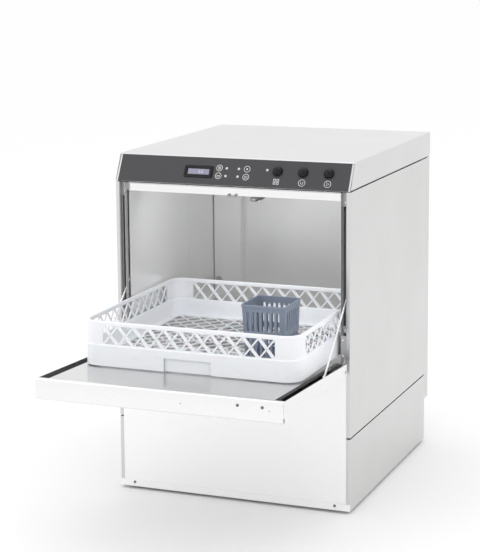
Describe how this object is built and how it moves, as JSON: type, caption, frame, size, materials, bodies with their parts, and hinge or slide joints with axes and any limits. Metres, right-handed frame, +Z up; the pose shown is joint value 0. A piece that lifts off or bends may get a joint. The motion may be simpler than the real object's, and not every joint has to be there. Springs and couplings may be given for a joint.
{
  "type": "undercounter dishwasher",
  "caption": "Front-loading undercounter dishwasher with drop-down door, sloped control panel, sliding square rack and cutlery basket.",
  "frame": {"origin": "on the floor, under the middle of the whole object's bounding box with the door open and the rack half out", "axes": "+X to the machine's right seen from the front, +Y to its back, +Z up"},
  "size_m": [0.562, 1.0528, 0.785],
  "materials": {
    "foot_rubber": "matt",
    "brushed_steel": "fine brushed",
    "polished_steel": "bright rolled, near mirror",
    "dark_metal": "dark satin",
    "overlay_plastic": "satin film",
    "black_gloss": "gloss",
    "black_plastic": "moulded",
    "display": "liquid crystal pane",
    "board": "circuit board",
    "cast_grey": "cast",
    "grey_plastic": "moulded",
    "gasket_rubber": "matt",
    "rack_plastic": "satin moulded",
    "basket_plastic": "satin moulded"
  },
  "bodies": {
    "cabinet": {"foot_front_left": "foot_rubber", "foot_front_right": "foot_rubber", "foot_rear_left": "foot_rubber", "foot_rear_right": "foot_rubber", "base_tray": "brushed_steel", "base_strip": "brushed_steel", "base_side_left": "brushed_steel", "base_side_right": "brushed_steel", "upper_side_left": "brushed_steel", "upper_side_right": "brushed_steel", "lower_front_panel": "brushed_steel", "rear_panel": "brushed_steel", "rear_housing": "brushed_steel", "top_cover": "brushed_steel", "control_fascia": "brushed_steel", "control_overlay": "overlay_plastic", "display_window": "display", "lamp_board": "board", "control_box": "black_plastic", "header_bar": "polished_steel", "door_latch": "cast_grey", "pillar_left": "dark_metal", "pillar_right": "dark_metal", "hinge_bracket_left": "dark_metal", "hinge_bracket_right": "dark_metal", "chamber_side_left": "polished_steel", "chamber_side_right": "polished_steel", "rack_guide_left": "polished_steel", "rack_guide_right": "polished_steel", "chamber_back": "polished_steel", "chamber_ceiling": "polished_steel", "rear_duct": "polished_steel", "wash_tank": "polished_steel", "surface_filter": "brushed_steel", "pump_filter": "brushed_steel", "tank_heater": "cast_grey", "lower_manifold": "grey_plastic", "upper_manifold": "grey_plastic", "wash_pump": "cast_grey", "boiler": "brushed_steel", "drain_pump": "black_plastic", "water_inlet_valve": "black_plastic", "cable_gland": "black_plastic"},
    "door": {"door_pan": "brushed_steel", "door_liner": "brushed_steel", "door_gasket": "gasket_rubber", "door_handle_rail": "brushed_steel", "door_catch": "cast_grey"},
    "hinge_shaft": {"hinge_shaft": "cast_grey"},
    "rack": {"rack": "rack_plastic", "cutlery_basket": "basket_plastic"},
    "stay_rod_left": {"stay_rod_left": "polished_steel"},
    "stay_rod_right": {"stay_rod_right": "polished_steel"},
    "push_button_left": {"push_button_left": "black_gloss"},
    "push_button_middle": {"push_button_middle": "black_gloss"},
    "push_button_right": {"push_button_right": "black_gloss"},
    "lower_wash_arm": {"lower_wash_arm": "brushed_steel"},
    "lower_rinse_arm": {"lower_rinse_arm": "brushed_steel"},
    "upper_wash_arm": {"upper_wash_arm": "black_plastic"},
    "upper_rinse_arm": {"upper_rinse_arm": "brushed_steel"}
  },
  "joints": [
    {"name": "door_hinge", "type": "hinge", "parent": "cabinet", "child": "door", "pos_m": [0, -0.1331, 0.329], "axis": [-1, 0, 0], "range_deg": [0, 87.5]},
    {"name": "shaft_turn", "type": "hinge", "parent": "cabinet", "child": "hinge_shaft", "pos_m": [0, -0.1331, 0.329], "axis": [-1, 0, 0], "range_deg": [0, 180.01]},
    {"name": "rack_travel", "type": "hinge", "parent": "hinge_shaft", "child": "rack", "pos_m": [0, -0.2641, 0.329], "axis": [1, 0, 0], "range_deg": [0, 180.01]},
    {"name": "stay_rod_left_pivot", "type": "hinge", "parent": "door", "child": "stay_rod_left", "pos_m": [-0.2648, -0.2436, 0.34283], "axis": [1, 0, 0], "range_deg": [0, 130.29]},
    {"name": "stay_rod_right_pivot", "type": "hinge", "parent": "door", "child": "stay_rod_right", "pos_m": [0.2648, -0.2436, 0.34283], "axis": [1, 0, 0], "range_deg": [0, 130.29]},
    {"name": "push_button_left_press", "type": "slide", "parent": "cabinet", "child": "push_button_left", "axis": [0, 0.8801, -0.4747], "range_m": [0, 0.0025], "stiffness_N_per_m": 600},
    {"name": "push_button_middle_press", "type": "slide", "parent": "cabinet", "child": "push_button_middle", "axis": [0, 0.8801, -0.4747], "range_m": [0, 0.0025], "stiffness_N_per_m": 600},
    {"name": "push_button_right_press", "type": "slide", "parent": "cabinet", "child": "push_button_right", "axis": [0, 0.8801, -0.4747], "range_m": [0, 0.0025], "stiffness_N_per_m": 600},
    {"name": "lower_wash_arm_spin", "type": "hinge", "parent": "cabinet", "child": "lower_wash_arm", "pos_m": [0, 0.1614, 0.329], "axis": [0, 0, 1], "continuous": true},
    {"name": "lower_rinse_arm_spin", "type": "hinge", "parent": "cabinet", "child": "lower_rinse_arm", "pos_m": [0, 0.1614, 0.3415], "axis": [0, 0, 1], "continuous": true},
    {"name": "upper_wash_arm_spin", "type": "hinge", "parent": "cabinet", "child": "upper_wash_arm", "pos_m": [0, 0.1614, 0.6855], "axis": [0, 0, 1], "continuous": true},
    {"name": "upper_rinse_arm_spin", "type": "hinge", "parent": "cabinet", "child": "upper_rinse_arm", "pos_m": [0, 0.1614, 0.6715], "axis": [0, 0, 1], "continuous": true}
  ],
  "couplings": [
    {"joint": "shaft_turn", "follows": "door_hinge", "ratio": 2.0571},
    {"joint": "rack_travel", "follows": "door_hinge", "ratio": 2.0571},
    {"joint": "stay_rod_left_pivot", "follows": "door_hinge", "ratio": 1.4889},
    {"joint": "stay_rod_right_pivot", "follows": "door_hinge", "ratio": 1.4889}
  ]
}
